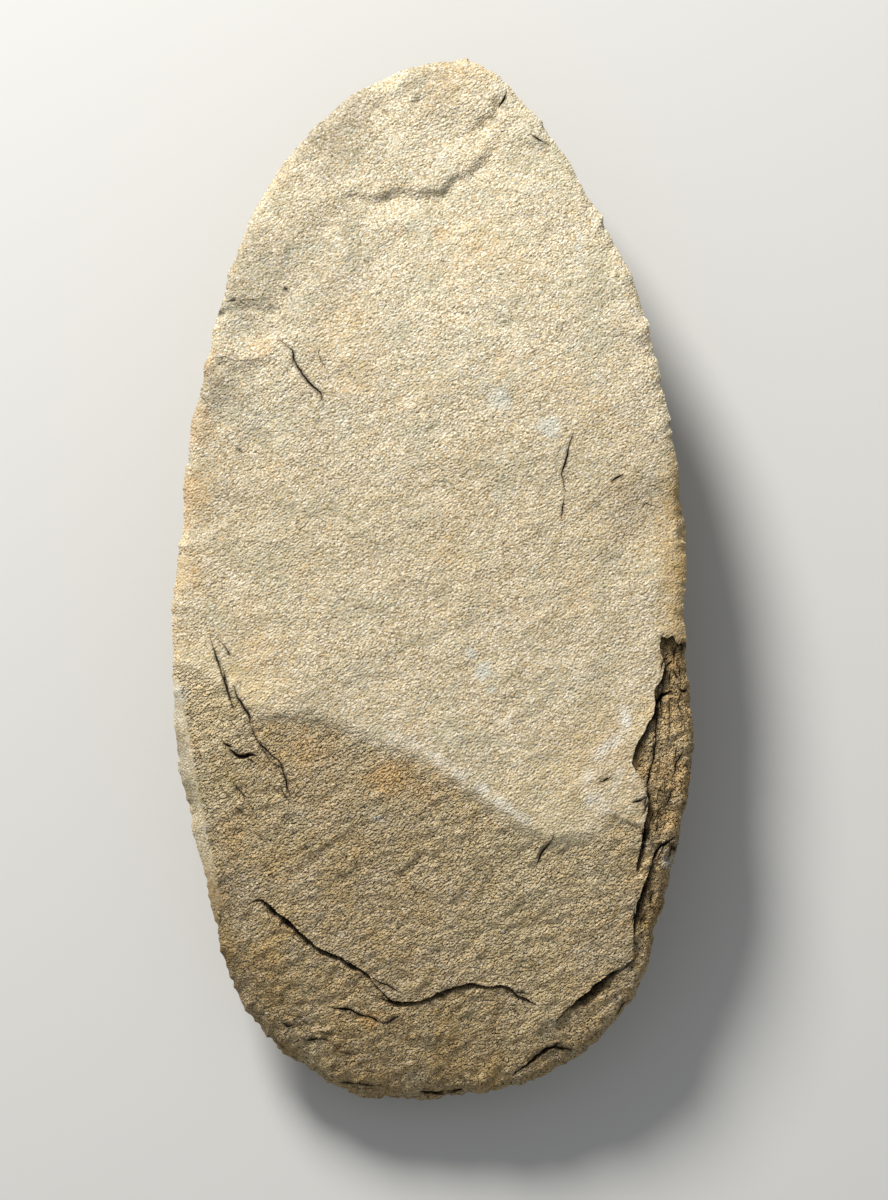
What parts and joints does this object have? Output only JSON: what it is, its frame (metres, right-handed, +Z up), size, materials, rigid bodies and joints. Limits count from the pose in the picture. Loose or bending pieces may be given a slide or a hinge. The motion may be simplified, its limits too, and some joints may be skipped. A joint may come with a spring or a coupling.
{
  "type": "stone celt",
  "caption": "Egg-shaped chipped sandstone celt, a flat split slab with a narrow butt, a broad round bit, a flaked rim and stepped flake scars, lying on its back",
  "frame": {"origin": "on the surface the stone lies on, under the middle of its length and width", "axes": "+Y towards the narrow butt, -Y towards the broad bit, +Z up out of the split face, +X to the right when the face is seen with the butt up"},
  "size_m": [0.1024, 0.2059, 0.028],
  "materials": {
    "sandstone": "fine-grained sandstone, split and chipped, matte"
  },
  "bodies": {
    "root": {"celt": "sandstone"}
  },
  "joints": []
}
